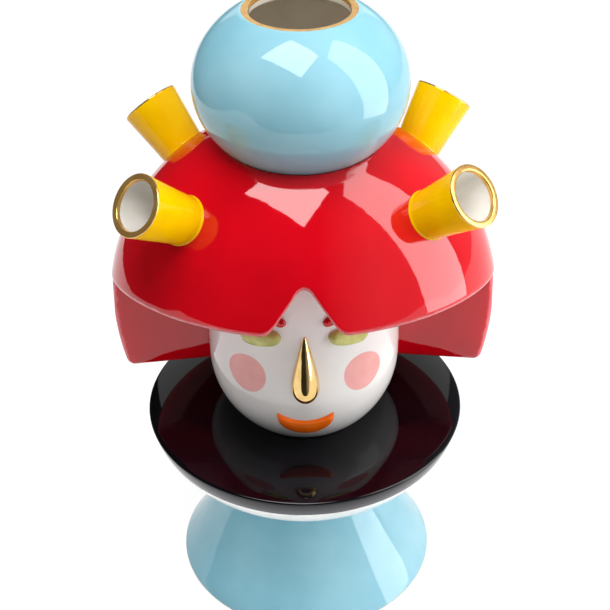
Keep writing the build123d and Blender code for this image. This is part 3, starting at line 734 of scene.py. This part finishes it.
floor_mesh.from_pydata([(x, y, 0) for x, y in FLOOR_EDGE], [], [range(len(FLOOR_EDGE))])
floor = bpy.data.objects.new("floor", floor_mesh)
floor.data.materials.append(white_floor)
bpy.context.scene.collection.objects.link(floor)


def placed(across, along, at):
    """A place in the scene whose X runs across, whose Y runs along and whose Z is their cross product."""
    turn = np.stack([across, along, np.cross(across, along)], 1)
    return Matrix(np.block([[turn, np.array(at)[:, None]], [np.zeros((1, 3)), np.ones((1, 1))]]).tolist())


def softbox(name, at, across, along, size, watts, mirrored=True):
    """A rectangular lamp: across is the way of its width and along that of its height. It shines against
    their cross product, and mirrored lets glossy surfaces show it."""
    lamp = bpy.data.lights.new(name, "AREA")
    lamp.shape = "RECTANGLE"
    lamp.size, lamp.size_y = size
    lamp.energy = watts
    piece = bpy.data.objects.new(name, lamp)
    piece.matrix_world = placed(across, along, at)
    piece.visible_camera = False
    piece.visible_glossy = mirrored
    bpy.context.scene.collection.objects.link(piece)


softbox("softbox_above", SOFTBOX_AT, SOFTBOX_ACROSS, SOFTBOX_ALONG, SOFTBOX_SIZE, SOFTBOX_WATTS)
softbox("softbox_right", STRIP_AT, STRIP_ACROSS, STRIP_ALONG, STRIP_SIZE, STRIP_WATTS)
softbox("panel_behind", PANEL_AT, PANEL_ACROSS, PANEL_ALONG, PANEL_SIZE, PANEL_WATTS)
softbox("table_bounce", BOUNCE_AT, BOUNCE_ACROSS, BOUNCE_ALONG, BOUNCE_SIZE, BOUNCE_WATTS, mirrored=False)

# The room: white to the camera, dim to a mirror but paler at the right, and soft light from behind and above.
world = bpy.data.worlds.new("dim_room")
bpy.context.scene.world = world
world.use_nodes = True
tree = world.node_tree
room = tree.nodes["Background"]
room.inputs["Color"].default_value = (1, 1, 1, 1)
path = add(tree, "LightPath", {})
toward = add(tree, "TexCoord", {}).outputs["Generated"]
way = add(tree, "SeparateXYZ", {0: toward})
pale_side = add(tree, "MapRange", {"Value": way.outputs["X"], "From Min": ROOM_TURN[0],
                                   "From Max": ROOM_TURN[1], "To Min": ROOM_DIM, "To Max": ROOM_PALE})
behind = add(tree, "VectorMath", {0: toward, 1: BACK_WAY}, operation="DOT_PRODUCT")
ambient = add(tree, "MapRange", {"Value": behind.outputs["Value"], "From Min": BACK_RANGE[0],
                                 "From Max": BACK_RANGE[1], "To Min": BACK_DIM, "To Max": BACK_PALE})
above = add(tree, "VectorMath", {0: toward, 1: ABOVE_WAY}, operation="DOT_PRODUCT")
ceiling_glow = add(tree, "MapRange", {"Value": above.outputs["Value"], "From Min": ABOVE_RANGE[0],
                                      "From Max": ABOVE_RANGE[1], "To Max": ABOVE_GLOW})
ambient = add(tree, "Math", {0: ambient.outputs[0], 1: ceiling_glow.outputs[0]}, operation="ADD")
lit = add(tree, "Mix", {0: path.outputs["Is Glossy Ray"], 2: ambient.outputs[0], 3: pale_side.outputs[0]})
gloom = add(tree, "Mix", {0: path.outputs["Is Camera Ray"], 2: lit.outputs[0], 3: 1.0})
tree.links.new(gloom.outputs[0], room.inputs["Strength"])


# Camera: above the vase and in front of it, as the photograph was taken. It looks down by its pitch and
# is turned a little by its roll and yaw, in degrees; the lens and the sensor are in millimetres.
CAMERA_AT, PITCH, ROLL, YAW = (-0.0048, -0.8134, 0.82107), 34.887, -0.705, 0.42
LENS, SENSOR = 73.84, 36.0
pitch, roll, yaw = np.radians([PITCH, ROLL, YAW])
ahead = np.array([np.sin(yaw) * np.cos(pitch), np.cos(yaw) * np.cos(pitch), -np.sin(pitch)])
level_right = np.cross(ahead, [0, 0, 1]) / np.hypot(*ahead[:2])
level_up = np.cross(level_right, ahead)
right = level_right * np.cos(roll) + level_up * np.sin(roll)
up = -level_right * np.sin(roll) + level_up * np.cos(roll)
lens = bpy.data.cameras.new("camera")
lens.sensor_fit, lens.sensor_width, lens.lens = "HORIZONTAL", SENSOR, LENS
camera = bpy.data.objects.new("camera", lens)
camera.matrix_world = placed(right, up, CAMERA_AT)
bpy.context.scene.collection.objects.link(camera)
bpy.context.scene.camera = camera
bpy.context.scene.view_settings.view_transform = "Standard"
